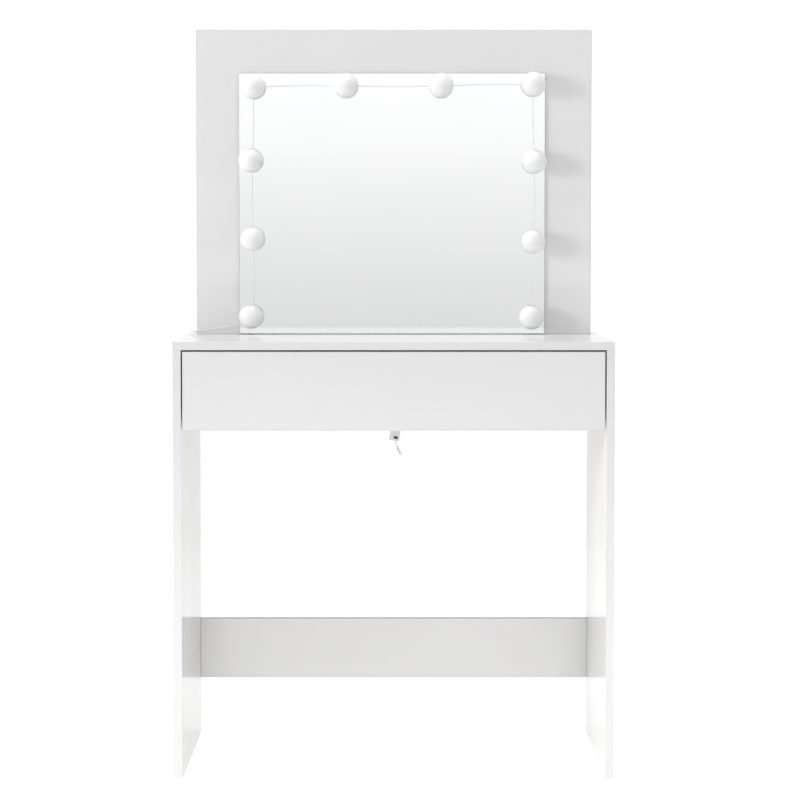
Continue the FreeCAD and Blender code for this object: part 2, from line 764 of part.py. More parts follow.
GROOVE_LOW = "drawer_box_bottom + groove_height"
GROOVE_HIGH = "drawer_box_bottom + groove_height + groove_width"
GROOVE_X = f"({BOX_INNER} + groove_depth)"
for board, face, reach in ((drawer_front, "rear", GROOVE_X), (drawer_back, "front", BOX_INNER)):
    cut_groove(board, face, "groove", ("-" + reach, "0", GROOVE_LOW), (reach, "0", GROOVE_HIGH))
for side_name, inner_face in (("left", "right"), ("right", "left")):
    cut_groove(
        drawer_sides[side_name],
        inner_face,
        "groove",
        ("0", DRAWER_FRONT_REAR, GROOVE_LOW),
        ("0", f"{BOX_REAR} - panel + groove_depth", GROOVE_HIGH),
    )

# Cams in the drawer sides hold the front, with a dowel between each pair.
DRAWER_CAM_SPACING = "50"
drawer_cam = ("-" + BOX_INNER, DRAWER_FRONT_REAR + " + cam_reach", "drawer_box_bottom + 26")
drawer_entry = (f"-({BOX_INNER} + panel / 2)", DRAWER_FRONT_REAR, "drawer_box_bottom + 26")
drawer_dowel = (f"-({BOX_INNER} + panel / 2)", DRAWER_FRONT_REAR, "drawer_box_bottom + 51")
for side_name, inner_face, index in (("left", "right", 0), ("right", "left", 1)):
    cam_joint(
        drawer_sides[side_name],
        drawer_front,
        inner_face,
        "front",
        "rear",
        spread([mirrored(drawer_cam)[1 - index]], 2, DRAWER_CAM_SPACING),
        spread([mirrored(drawer_entry)[1 - index]], 2, DRAWER_CAM_SPACING),
        [mirrored(drawer_dowel)[1 - index]],
    )
drawer_rows = [(2, DRAWER_CAM_SPACING, 2)]
drawer_cam_locks = cam_locks("drawer_cam_locks", 0, -1, drawer_cam, 1, -1, drawer_rows)
drawer_cam_bolts = cam_bolts("drawer_cam_bolts", 1, 1, drawer_entry, drawer_rows)
drawer_dowels = dowels("drawer_dowels", 1, 1, drawer_dowel, [])

# Screws through the drawer sides into the ends of the drawer back.
DRAWER_SCREW_SPACING = "36"
drawer_screw = ("-" + BOX_SIDE, BOX_REAR + " - panel / 2", "drawer_box_bottom + 38")
drawer_screws = new_body("drawer_screws")
DRAWER_SCREW_STAGES = [("0.2", "2.6", "7.6"), ("0.2", "38", "4")]
drawer_screw_parts = turn(drawer_screws, 0, 1, drawer_screw, DRAWER_SCREW_STAGES)
drawer_screw_face = ("-" + BOX_SIDE + " + 0.2",) + drawer_screw[1:]
drawer_screw_parts.append(recess(drawer_screws, 0, 1, drawer_screw_face, 2.2))
repeat(drawer_screws, drawer_screw_parts, [(2, DRAWER_SCREW_SPACING, 2)])
for index, (side_name, side_panel) in enumerate(drawer_sides.items()):
    points = spread([mirrored(drawer_screw)[1 - index]], 2, DRAWER_SCREW_SPACING)
    bore(side_panel, side_name, "screw_heads", points, "8", "3")
    bore(side_panel, side_name, "screw_holes", points, "4.2", "panel")
    bore(drawer_back, side_name, f"screw_holes_{side_name}", points, "4.2", "26")

# ---------------------------------------------------------------- roller slides

SCREW_HEAD = 1.0
CABINET_ROLLER_Y = f"({SLIDE_FRONT} + roller_inset)"
DRAWER_ROLLER_Y = f"({BOX_REAR} - roller_inset)"
CABINET_ROLLER_Z = "(drawer_box_bottom + drawer_web - roller_play - roller_radius)"
DRAWER_ROLLER_Z = f"({TRACK} + roller_play + roller_radius)"
RAIL_SCREW_Z = "(drawer_box_bottom + rail_screw_height)"
PIN_HEAD_GAP = 0.1
cabinet_rails = []
drawer_rails = []
rollers = []
pin_sets = {"cabinet": [], "drawer": []}


def channel(label, side, origin_x, low, corners, front):
    """A sheet-steel section padded to the rear; corners are across and up from its corner."""
    body = new_body(label)
    profile = sketch_across(body, "profile", 1, front)
    outline = [(f"{side} * ({origin_x} + {across})", f"{low} + {up}") for across, up in corners]
    draw_polygon(profile, outline)
    pad(body, profile, 1, 1, "slide_length")
    return body


def drill(body, side, level, screws, pin):
    """Holes for the screws and the roller's pin through a slide's web, from a level across the table."""
    for name, places, diameter in (("screws", screws, "4"), ("pin", [pin], "pin_diameter")):
        sketch = sketch_across(body, name + "_holes", 0, f"{side} * ({level})")
        for centre in places:
            draw_circle(sketch, centre, diameter)
        pocket(body, sketch, 0, -side, "slide_sheet")


CABINET_SCREWS = [(f"{SLIDE_FRONT} + {reach}", RAIL_SCREW_Z) for reach in (40, 185, 305)]
DRAWER_SCREWS = [(f"{DRAWER_FRONT_REAR} + {reach}", RAIL_SCREW_Z) for reach in (40, 170, 300)]
for side_name, side in (("left", -1), ("right", 1)):
    cabinet_rail = channel(
        f"{side_name}_cabinet_rail",
        side,
        SIDE,
        "drawer_box_bottom + slide_drop",
        [
            ("0", "0"),
            ("-slide_flange", "0"),
            ("-slide_flange", "slide_sheet"),
            ("-slide_sheet", "slide_sheet"),
            ("-slide_sheet", "slide_height - slide_sheet"),
            ("-slide_flange", "slide_height - slide_sheet"),
            ("-slide_flange", "slide_height"),
            ("0", "slide_height"),
        ],
        SLIDE_FRONT,
    )
    drill(cabinet_rail, side, SIDE, CABINET_SCREWS, (CABINET_ROLLER_Y, CABINET_ROLLER_Z))
    cabinet_rails.append(cabinet_rail)
    drawer_rail = channel(
        f"{side_name}_drawer_rail",
        side,
        BOX_SIDE,
        "drawer_box_bottom",
        [
            ("-slide_wrap", "-slide_sheet"),
            ("slide_sheet", "-slide_sheet"),
            ("slide_sheet", "drawer_web"),
            ("drawer_flange", "drawer_web"),
            ("drawer_flange", "drawer_web + slide_sheet"),
            ("0", "drawer_web + slide_sheet"),
            ("0", "0"),
            ("-slide_wrap", "0"),
        ],
        DRAWER_FRONT_REAR,
    )
    drawer_web_face = BOX_SIDE + " + slide_sheet"
    drill(drawer_rail, side, drawer_web_face, DRAWER_SCREWS, (DRAWER_ROLLER_Y, DRAWER_ROLLER_Z))
    drawer_rails.append(drawer_rail)
    wheels = {
        "cabinet": (SIDE, -side, "slide_sheet + 1.2", CABINET_ROLLER_Y, CABINET_ROLLER_Z),
        "drawer": (BOX_SIDE, side, "slide_sheet + 0.8", DRAWER_ROLLER_Y, DRAWER_ROLLER_Z),
    }
    for owner, (wall, direction, start, y, z) in wheels.items():
        centre = (f"{side} * {wall}", y, z)
        wheel = new_body(f"{side_name}_{owner}_roller")
        turn(wheel, 0, direction, centre, [(start, "roller_width", "2 * roller_radius")])
        bore_level = f"{side} * {wall} + {direction} * ({start})"
        hub = sketch_across(wheel, "hub", 0, bore_level)
        draw_circle(hub, (y, z), "roller_bore")
        pocket(wheel, hub, 0, direction, "roller_width")
        rollers.append(wheel)
        pin = new_body(f"{side_name}_{owner}_pin")
        head_start = f"{start} + roller_width + {PIN_HEAD_GAP}"
        pin_stages = [("0.05", head_start, "pin_diameter"), (head_start, "0.8", "pin_head")]
        turn(pin, 0, direction, centre, pin_stages)
        pin_sets[owner].append(pin)
cabinet_roller_pins = compound("cabinet_roller_pins", pin_sets["cabinet"])
drawer_roller_pins = compound("drawer_roller_pins", pin_sets["drawer"])


SLIDE_SCREW_LENGTH = "10"


def slide_screws(name, face, direction, places):
    """Flat-headed screws through a slide's web into the board behind it."""
    members = []
    for number, (y, z) in enumerate(places):
        body = new_body(f"{name}_{number}")
        centre = (face, y, z)
        stages = [(str(-SCREW_HEAD), str(SCREW_HEAD), "7"), ("0", SLIDE_SCREW_LENGTH, "3.8")]
        parts = turn(body, 0, direction, centre, stages)
        drive = recess(body, 0, direction, (f"{face} - {direction * SCREW_HEAD}", y, z), 2)
        repeat(body, parts + [drive], [])
        members.append(body)
    return compound(name, members)


cabinet_rail_screws = slide_screws(
    "cabinet_rail_screws", f"-({SIDE} - slide_sheet)", -1, CABINET_SCREWS
)
drawer_rail_screws = slide_screws(
    "drawer_rail_screws", f"-({BOX_SIDE} + slide_sheet)", 1, DRAWER_SCREWS
)
for side_name, inner_face, index in (("left", "right", 0), ("right", "left", 1)):
    for block, face, wall, screws in (
        (side_panels[side_name], inner_face, SIDE, CABINET_SCREWS),
        (drawer_sides[side_name], side_name, BOX_SIDE, DRAWER_SCREWS),
    ):
        points = [mirrored(("-" + wall, y, z))[1 - index] for y, z in screws]
        bore(block, face, "slide_screws", points, "4", "9.4")

# ---------------------------------------------------------------- switch box on the lead

BOX_MIDDLE_Y = f"({BACK_RAIL_REAR} + lamp_pad + box_thickness / 2)"
BUTTON_PROUD = 1.2
BUTTON_PLAY = 0.1
BUTTON_TRAVEL_SPACE = 2.0
BUTTON_LOW = ("button_shift - button_width / 2", "-button_drop - button_height / 2")
BUTTON_HIGH = ("button_shift + button_width / 2", "-button_drop + button_height / 2")
switch_box = new_body("switch_box")
shell = sketch_across(switch_box, "shell", 1, "-box_thickness / 2")
draw_rectangle(shell, ("-box_width / 2", "-box_height / 2"), ("box_width / 2", "box_height / 2"))
round_edges(switch_box, pad(switch_box, shell, 1, 1, "box_thickness"), "1.6")
well = sketch_across(switch_box, "well", 1, "-box_thickness / 2")
draw_rectangle(
    well,
    [f"{text} - {BUTTON_PLAY}" for text in BUTTON_LOW],
    [f"{text} + {BUTTON_PLAY}" for text in BUTTON_HIGH],
)
pocket(switch_box, well, 1, 1, "button_depth")
switch_button = new_body("switch_button")
cap = sketch_across(switch_button, "cap", 1, f"-box_thickness / 2 - {BUTTON_PROUD}")
draw_rectangle(cap, BUTTON_LOW, BUTTON_HIGH)
cap_length = f"button_depth + {BUTTON_PROUD} - {BUTTON_TRAVEL_SPACE}"
round_edges(switch_button, pad(switch_button, cap, 1, 1, cap_length), "0.4")
switch_pad = new_body("switch_pad")
pad_sketch = sketch_across(switch_pad, "patch", 1, "-box_thickness / 2")
draw_rectangle(
    pad_sketch, ("-box_width / 2 + 2.5", "9"), ("box_width / 2 - 2.5", "box_height / 2 - 2.5")
)
pad(switch_pad, pad_sketch, 1, -1, "lamp_pad")
lean = FreeCAD.Rotation(V(0, 1, 0), value("box_tilt"))
for member in (switch_box, switch_button, switch_pad):
    member.Placement = FreeCAD.Placement(V(0, 0, 0), lean)
    place(member, "box_x", BOX_MIDDLE_Y, "box_bottom + box_height / 2")

# ---------------------------------------------------------------- wires and the lead


def bend_radius(before, corner, after):
    """The arc at a corner: 0.45 of the shorter run over the tangent of half the turn."""
    into = corner - before
    out = after - corner
    turn_angle = into.getAngle(out)
    return 0.45 * min(into.Length, out.Length) / math.tan(turn_angle / 2)


def route(points):
    """Straight runs joined by tangent arcs, as one wire."""
    edges = []
    start = points[0]
    for before, corner, after in zip(points, points[1:], points[2:]):
        into = (corner - before).normalize()
        out = (after - corner).normalize()
        reach = 0.45 * min((corner - before).Length, (after - corner).Length)
        radius = bend_radius(before, corner, after)
        arc_start = corner - into * reach
        arc_end = corner + out * reach
        inward = (out - into).normalize()
        centre_distance = math.hypot(reach, radius)
        arc_middle = corner + inward * (centre_distance - radius)
        edges.append(Part.LineSegment(start, arc_start).toShape())
        edges.append(Part.Arc(arc_start, arc_middle, arc_end).toShape())
        start = arc_end
    edges.append(Part.LineSegment(start, points[-1]).toShape())
    return Part.Wire(edges)


def tube(points, diameter):
    """A round tube along a route, with its volume checked against its section times its length."""
    path = route(points)
    tangent = points[1] - points[0]
    section = Part.Wire(Part.makeCircle(diameter / 2, points[0], tangent))
    solid = path.makePipeShell([section], True, False, 1)
    expected = math.pi * diameter ** 2 / 4 * path.Length
    if abs(solid.Volume / expected - 1) > 0.01:
        raise ValueError(f"tube volume {solid.Volume:.1f} differs from {expected:.1f}")
    return solid, path.Length


def feature(label, shape):
    found = doc.addObject("Part::Feature", label)
    found.Label = label
    found.Shape = shape
    return found


def report_radii(label, points, diameter):
    radii = [bend_radius(*three) for three in zip(points, points[1:], points[2:])]
    print(label, "radii", [round(radius, 1) for radius in radii])
    print(label, "least radius in diameters", round(min(radii) / diameter, 1))


# Wires between neighbouring lamps: each leaves one base and ends in the next, with a slight bow.
WIRE_BOW = 1.6
WIRE_TURN = 0.32
WIRE_GRIP = 1.0
WIRE_SHIFTS = {"lamp_left_low": 3.5, "lamp_left_high": 3, "lamp_top_1": -1, "lamp_right_low": 5}
wire_y = value(GLASS_FRONT) - value("wire_height")
centres = []
for lamp in LAMPS:
    wire_x = value(lamp + "_x") + WIRE_SHIFTS.get(lamp, 0)
    centres.append(V(wire_x, wire_y, value(lamp + "_z")))
wires = []
for number, (first, last) in enumerate(zip(centres, centres[1:])):
    along = (last - first).normalize()
    sideways = V(along.z, 0, -along.x) * WIRE_BOW * (-1) ** number
    reach = value("lamp_base_radius") - WIRE_GRIP
    start = first + along * reach
    end = last - along * reach
    span = end - start
    bowed = [start, start + span * WIRE_TURN + sideways, end - span * WIRE_TURN + sideways, end]
    wires.append(tube(bowed, value("wire_diameter"))[0])
lamp_wires = feature("lamp_wires", Part.makeCompound(wires))

# The lead: from the low left lamp past the edge of the mirror board, behind it along the table top,
# over the rear edge and down to the switch box behind the back rail; its tail ends in a small plug.
LEAD = [
    V(-294.3, 119.6, 822.0),
    V(-308.0, 119.4, 813.4),
    V(-330.0, 120.6, 809.0),
    V(-357.0, 121.8, 806.2),
    V(-383.0, 122.6, 805.2),
    V(-395.6, 129.5, 805.2),
    V(-397.2, 143.0, 804.8),
    V(-389.0, 155.5, 803.9),
    V(-367.0, 168.0, 802.0),
    V(-340.0, 181.0, 802.0),
    V(-320.0, 194.5, 806.5),
    V(-308.5, 206.5, 802.5),
    V(-301.5, 208.5, 787.0),
    V(-285.0, 204.5, 762.0),
    V(-247.0, 200.0, 734.0),
    V(-199.0, 197.5, 712.0),
    V(-146.0, 196.0, 695.5),
    V(-93.0, 195.0, 689.0),
    V(-48.0, 193.8, 686.0),
    V(-15.0, 192.6, 686.8),
    V(7.0, 191.6, 677.5),
    V(14.2, 191.0, 661.8),
    V(11.4, 191.0, 645.6),
    V(8.2, 191.0, 629.4),
]
TAIL = [
    V(4.0, 191.0, 585.2),
    V(4.6, 191.0, 579.5),
    V(6.0, 191.1, 574.2),
    V(8.2, 191.3, 569.4),
]
lead_diameter = value("lead_diameter")
report_radii("supply_lead", LEAD, lead_diameter)
report_radii("lead_tail", TAIL, lead_diameter)
lead_solid, lead_length = tube(LEAD, lead_diameter)
tail_solid, tail_length = tube(TAIL, lead_diameter)
print("lead length", round(lead_length, 1), "tail length", round(tail_length, 1))
supply_lead = feature("supply_lead", lead_solid)
lead_tail = feature("lead_tail", tail_solid)

plug_direction = (TAIL[-1] - TAIL[-2]).normalize()
lead_plug = new_body("lead_plug")
PLUG_STAGES = [("0", "plug_length", "plug_diameter"), ("plug_length", "3", "3.2")]
turn(lead_plug, 2, 1, ("0", "0", "0"), PLUG_STAGES)
lead_plug.Placement = FreeCAD.Placement(TAIL[-1], FreeCAD.Rotation(V(0, 0, 1), plug_direction))

# ---------------------------------------------------------------- checks and files

sub_parts = [block.body for block in (*side_panels.values(), table_top, back_rail, lower_rail, mirror_board)]
sub_parts += [mirror_glass.body, mirror_tape, *angle_brackets, bracket_screws, mirror_board_screws]
sub_parts += [case_cam_locks, case_cam_bolts, case_dowels, *glides]
sub_parts += [*globes, lamp_bases, lamp_pads, lamp_wires]
sub_parts += [drawer_front.body, drawer_sides["left"].body, drawer_sides["right"].body]
sub_parts += [drawer_back.body, drawer_bottom.body]
sub_parts += [drawer_cam_locks, drawer_cam_bolts, drawer_dowels, drawer_screws]
sub_parts += [*cabinet_rails, *drawer_rails, *rollers, cabinet_roller_pins, drawer_roller_pins]
sub_parts += [cabinet_rail_screws, drawer_rail_screws]
sub_parts += [switch_box, switch_button, switch_pad, supply_lead, lead_tail, lead_plug]

LEAST_CUT = 0.1
doc.recompute()
for item in doc.Objects:
    if "Invalid" in item.State or "Error" in item.State:
        raise ValueError(f"{item.Name} failed: {item.State}")
    is_pocket = item.TypeId == "PartDesign::Pocket"
    if is_pocket and item.BaseFeature.Shape.Volume - item.Shape.Volume < LEAST_CUT:
        raise ValueError(f"{item.Name} cuts nothing")
os.makedirs("parts", exist_ok=True)
for item in sub_parts:
    if item.Shape.isNull() or not item.Shape.isValid():
        raise ValueError(f"{item.Label} has no valid shape")
    item.Shape.exportStep(f"parts/{item.Label}.step")
print(len(sub_parts), "sub-parts")
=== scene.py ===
import json
import math

import bmesh
import bpy
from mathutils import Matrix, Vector


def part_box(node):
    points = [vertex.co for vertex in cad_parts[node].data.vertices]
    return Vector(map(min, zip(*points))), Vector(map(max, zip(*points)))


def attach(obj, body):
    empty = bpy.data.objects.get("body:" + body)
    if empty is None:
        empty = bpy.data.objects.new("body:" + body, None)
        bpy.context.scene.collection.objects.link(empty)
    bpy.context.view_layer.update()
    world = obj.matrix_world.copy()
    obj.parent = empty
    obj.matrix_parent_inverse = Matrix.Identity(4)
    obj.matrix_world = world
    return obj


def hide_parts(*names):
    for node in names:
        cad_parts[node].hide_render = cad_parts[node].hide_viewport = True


# The looks of a white vanity table with a lit mirror, in metres, in the CAD model's own frame.

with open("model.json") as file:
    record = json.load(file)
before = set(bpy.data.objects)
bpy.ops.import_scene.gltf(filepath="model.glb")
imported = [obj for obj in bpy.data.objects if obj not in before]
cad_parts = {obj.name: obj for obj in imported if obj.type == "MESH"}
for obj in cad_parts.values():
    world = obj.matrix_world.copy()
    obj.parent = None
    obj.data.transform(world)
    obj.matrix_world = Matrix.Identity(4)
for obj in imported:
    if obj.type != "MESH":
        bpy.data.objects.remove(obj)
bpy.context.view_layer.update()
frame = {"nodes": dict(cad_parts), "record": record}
scene = bpy.context.scene

# ---------------------------------------------------------------- camera

CAMERA_PLACE = Vector((-0.0008, -4.139, 0.9848))
CAMERA_PITCH = math.radians(-2.7)
CAMERA_LENS = 98.28
CAMERA_SHIFT = (0.0084, -0.0719)


def make_camera():
    data = bpy.data.cameras.new("camera")
    data.lens = CAMERA_LENS
    data.shift_x, data.shift_y = CAMERA_SHIFT
    camera = bpy.data.objects.new("camera", data)
    camera.location = CAMERA_PLACE
    camera.rotation_euler = (math.radians(90) + CAMERA_PITCH, 0, 0)
    scene.collection.objects.link(camera)
    scene.camera = camera


# ---------------------------------------------------------------- the lead's route

LEAD_DIAMETER = 0.0022

# From the low left lamp past the edge of the mirror board, behind it, over the rear edge of the top
# and down to the switch box.
LEAD_TO_BOX = [
    (-0.2943, 0.1196, 0.8220),
    (-0.3080, 0.1194, 0.8168),
    (-0.3300, 0.1206, 0.8138),
    (-0.3570, 0.1218, 0.8100),
    (-0.3830, 0.1226, 0.8066),
    (-0.3956, 0.1295, 0.8052),
    (-0.3972, 0.1430, 0.8048),
    (-0.3890, 0.1555, 0.8039),
    (-0.3670, 0.1680, 0.8020),
    (-0.3400, 0.1810, 0.8020),
    (-0.3200, 0.1945, 0.8065),
    (-0.3085, 0.2065, 0.8025),
    (-0.3015, 0.2085, 0.7870),
    (-0.2850, 0.2045, 0.7620),
    (-0.2470, 0.2000, 0.7340),
    (-0.1990, 0.1975, 0.7120),
    (-0.1460, 0.1960, 0.6955),
    (-0.0930, 0.1950, 0.6890),
    (-0.0480, 0.1938, 0.6860),
    (-0.0150, 0.1926, 0.6868),
    (0.0070, 0.1916, 0.6775),
    (0.0142, 0.1910, 0.6618),
    (0.0114, 0.1910, 0.6456),
    (0.0082, 0.1910, 0.6294),
]
# Out of the bottom of the box to the plug.
LEAD_TAIL = [
    (0.0040, 0.1910, 0.5852),
    (0.0046, 0.1910, 0.5795),
    (0.0060, 0.1911, 0.5742),
    (0.0082, 0.1913, 0.5694),
]

# ---------------------------------------------------------------- node materials


class Look:
    """A node material in the making: each call adds a node and gives back its output."""

    def __init__(self, name, roughness=0.4, metallic=0.0):
        self.material = bpy.data.materials.new(name)
        self.material.use_nodes = True
        self.tree = self.material.node_tree
        self.shader = self.tree.nodes["Principled BSDF"]
        self.shader.inputs["Roughness"].default_value = roughness
        self.shader.inputs["Metallic"].default_value = metallic
        coordinates = self.tree.nodes.new("ShaderNodeTexCoord")
        self.place = coordinates.outputs["Object"]
        self.normal = coordinates.outputs["Normal"]

    def feed(self, socket, source):
        if isinstance(source, bpy.types.NodeSocket):
            self.tree.links.new(source, socket)
        else:
            socket.default_value = source

    def set(self, name, source):
        self.feed(self.shader.inputs[name], source)

    def maths(self, operation, *sources):
        node = self.tree.nodes.new("ShaderNodeMath")
        node.operation = operation
        for socket, source in zip(node.inputs, sources):
            self.feed(socket, source)
        return node.outputs[0]

    def vectors(self, operation, *sources):
        node = self.tree.nodes.new("ShaderNodeVectorMath")
        node.operation = operation
        for socket, source in zip(node.inputs, sources):
            self.feed(socket, source)
        return node.outputs[0]

    def split(self, vector):
        node = self.tree.nodes.new("ShaderNodeSeparateXYZ")
        self.feed(node.inputs[0], vector)
        return tuple(node.outputs)

    def noise(self, scale, detail=2.0, stretch=(1, 1, 1)):
        """Noise with about `scale` cells to the metre, drawn out along the axes by `stretch`."""
        node = self.tree.nodes.new("ShaderNodeTexNoise")
        squeezed = self.vectors("DIVIDE", self.place, stretch)
        self.feed(node.inputs["Vector"], squeezed)
        node.inputs["Scale"].default_value = scale
        node.inputs["Detail"].default_value = detail
        return node.outputs["Fac"]

    def cells(self, scale):
        node = self.tree.nodes.new("ShaderNodeTexVoronoi")
        self.feed(node.inputs["Vector"], self.place)
        node.inputs["Scale"].default_value = scale
        return node.outputs["Distance"]

    def between(self, source, low, high, start=0.3, end=0.7):
        """The source's range from start to end, spread over low to high."""
        node = self.tree.nodes.new("ShaderNodeMapRange")
        for name, number in (("From Min", start), ("From Max", end), ("To Min", low), ("To Max", high)):
            node.inputs[name].default_value = number
        self.feed(node.inputs["Value"], source)
        return node.outputs[0]

    def mix(self, share, first, second):
        node = self.tree.nodes.new("ShaderNodeMix")
        node.data_type = "RGBA"
        for number, source in ((0, share), (6, first), (7, second)):
            self.feed(node.inputs[number], source)
        return node.outputs[2]

    def bump(self, height, distance, under=None):
        """Relief of that height in metres, on top of the relief under it."""
        node = self.tree.nodes.new("ShaderNodeBump")
        node.inputs["Distance"].default_value = distance
        self.feed(node.inputs["Height"], height)
        if under is not None:
            self.feed(node.inputs["Normal"], under)
        return node.outputs[0]


def grey(level, warmth=0.0):
    return (level + warmth, level, level - warmth, 1)


# The joint line of the edge banding lies a band's thickness in from the edge, BAND_JOINT wide to each
# side, and only on the face, which is whatever lies within FACE_SKIN of the board's outside.
BAND_THICKNESS = 0.0010
BAND_JOINT = 0.0002
FACE_SKIN = 0.0007
BOARD_WHITE = 0.68
BAND_WHITE = 0.67
JOINT_SHADE = 0.42
WAVE_HEIGHT = 0.00001
PEEL_HEIGHT = 0.0000006


def white_board(name):
    """Gloss white board: a faint waviness, an orange-peel skin, and the joint line of its edge banding."""
    look = Look(name + "_look")
    low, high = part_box(name)
    size = high - low
    thin = min(range(3), key=lambda axis: size[axis])
    from_middle = look.vectors("ABSOLUTE", look.vectors("SUBTRACT", look.place, (low + high) / 2))
    depths = look.split(look.vectors("SUBTRACT", size / 2, from_middle))
    first, second = (depths[axis] for axis in range(3) if axis != thin)
    to_edge = look.maths("MINIMUM", first, second)
    on_face = look.maths("LESS_THAN", depths[thin], FACE_SKIN)
    joint = look.maths("MULTIPLY", on_face, look.maths("COMPARE", to_edge, BAND_THICKNESS, BAND_JOINT))
    shade = look.between(look.noise(3, 1), 0, 1)
    face = look.mix(shade, grey(BOARD_WHITE), grey(BOARD_WHITE + 0.012, -0.001))
    board = look.mix(on_face, grey(BAND_WHITE), face)
    look.set("Base Color", look.mix(joint, board, grey(JOINT_SHADE)))
    face_gloss = look.between(look.noise(6, 2), 0.175, 0.19)
    band_gloss = look.between(look.noise(180, 3), 0.26, 0.34)
    gloss = look.maths("ADD", look.maths("MULTIPLY", on_face, face_gloss),
                       look.maths("MULTIPLY", look.maths("SUBTRACT", 1.0, on_face), band_gloss))
    look.set("Roughness", gloss)
    waves = look.bump(look.noise(9, 1), WAVE_HEIGHT)
    look.set("Normal", look.bump(look.noise(420, 2), PEEL_HEIGHT, waves))
    return look.material


def hardboard(name):
    """Thin fibre board, painted white above and bare brown below."""
    look = Look(name + "_look", roughness=0.55)
    up = look.maths("GREATER_THAN", look.split(look.normal)[2], 0.5)
    fibres = look.noise(700, 6, (3, 1, 1))
    brown = look.mix(look.between(fibres, 0, 1), (0.20, 0.11, 0.055, 1), (0.34, 0.21, 0.12, 1))
    white = look.mix(look.between(look.noise(60, 4), 0, 1), grey(0.70), grey(0.74))
    look.set("Base Color", look.mix(up, brown, white))
    look.set("Normal", look.bump(fibres, 0.00008))
    return look.material


def dowel_wood(name):
    """Pale beech with its grain and fine flutes."""
    look = Look(name + "_look", roughness=0.62)
    grain = look.noise(900, 5, (12, 1, 12))
    look.set("Base Color", look.mix(look.between(grain, 0, 1), (0.46, 0.29, 0.15, 1), (0.66, 0.47, 0.28, 1)))
    look.set("Normal", look.bump(grain, 0.00012))
    return look.material


def mirror(name):
    """Silvered front, green-grey polished glass edges and a painted back."""
    look = Look(name + "_look")
    facing = look.split(look.normal)[1]
    front = look.maths("LESS_THAN", facing, -0.9)
    back = look.maths("GREATER_THAN", facing, 0.9)
    depth = look.between(look.noise(90, 3), 0, 1)
    edge = look.mix(depth, (0.13, 0.19, 0.17, 1), (0.24, 0.31, 0.28, 1))
    paint = look.mix(depth, (0.16, 0.17, 0.18, 1), (0.21, 0.22, 0.23, 1))
    silver = look.mix(look.between(look.noise(5, 2), 0, 1), (0.925, 0.935, 0.93, 1), (0.935, 0.94, 0.938, 1))
    look.set("Base Color", look.mix(front, look.mix(back, edge, paint), silver))
    look.set("Metallic", front)
    haze = look.between(look.noise(14, 4), 0.0, 0.018)
    look.set("Roughness", look.maths("ADD", haze, look.maths("MULTIPLY", back, 0.5)))
    return look.material


def foam_tape(name):
    """White closed-cell foam, with its cells in relief, and painted shade that darkens each cell towards the
    pit of its relief.
    """
    look = Look(name + "_look", roughness=0.85)
    cells = look.cells(1500)
    # Painted shade: the colour follows the cell relief, darker in each cell's pit and lighter on its walls.
    look.set("Base Color", look.mix(look.between(cells, 0, 1, 0.1, 0.6), grey(0.62), grey(0.74)))
    look.set("Normal", look.bump(cells, 0.0002))
    return look.material


def frosted_globe(name):
    """Opal plastic: light goes in a little way, and the skin is finely frosted."""
    look = Look(name + "_look")
    cloud = look.between(look.noise(45, 3), 0, 1)
    look.set("Base Color", look.mix(cloud, grey(0.79, -0.002), grey(0.82, -0.001)))
    look.set("Subsurface Weight", 0.15)
    look.set("Subsurface Radius", (0.004, 0.004, 0.004))
    look.set("Subsurface Scale", 1.0)
    look.set("Roughness", look.between(look.noise(220, 3), 0.30, 0.40))
    look.set("Normal", look.bump(look.noise(2600, 2), 0.00002))
    return look.material


def moulded_plastic(name, level, warmth=0.0, grain=1300, gloss=(0.32, 0.44)):
    """Injection-moulded plastic with a fine spark-eroded grain."""
    look = Look(name + "_look")
    shade = look.between(look.noise(30, 3), 0, 1)
    look.set("Base Color", look.mix(shade, grey(level, warmth), grey(level * 1.05, warmth)))
    look.set("Roughness", look.between(look.noise(110, 3), *gloss))
    look.set("Normal", look.bump(look.noise(grain, 3), 0.00005))
    return look.material


def white_plastic(name):
    return moulded_plastic(name, 0.76)


def foot_plastic(name):
    return moulded_plastic(name, 0.50, 0.004, 900, (0.42, 0.55))


def dark_plastic(name):
    return moulded_plastic(name, 0.035, 0.0, 1600, (0.35, 0.48))


def roller_nylon(name):
    """Milky nylon, slightly see-through in its skin."""
    look = Look(name + "_look")
    milk = look.between(look.noise(260, 3), 0, 1)
    look.set("Base Color", look.mix(milk, grey(0.66, 0.012), grey(0.71, 0.008)))
    look.set("Subsurface Weight", 0.25)
    look.set("Subsurface Radius", (0.003, 0.003, 0.0025))
    look.set("Subsurface Scale", 1.0)
    look.set("Roughness", look.between(look.noise(500, 2), 0.30, 0.42))
    look.set("Normal", look.bump(look.noise(1500, 2), 0.00003))
    return look.material


def white_wire(name):
    """Soft white PVC insulation, with the twist of its cores just showing."""
    look = Look(name + "_look")
    look.set("Base Color", look.mix(look.between(look.noise(120, 3), 0, 1), grey(0.70), grey(0.75)))
    look.set("Roughness", look.between(look.noise(600, 2), 0.34, 0.46))
    look.set("Normal", look.bump(look.noise(900, 2), 0.00006))
    return look.material


def white_steel(name):
    """Powder coat on sheet steel: orange peel and a soft gloss."""
    look = Look(name + "_look")
    look.set("Base Color", look.mix(look.between(look.noise(20, 3), 0, 1), grey(0.70), grey(0.75)))
    look.set("Roughness", look.between(look.noise(60, 3), 0.28, 0.38))
    look.set("Normal", look.bump(look.noise(700, 3), 0.00007))
    return look.material


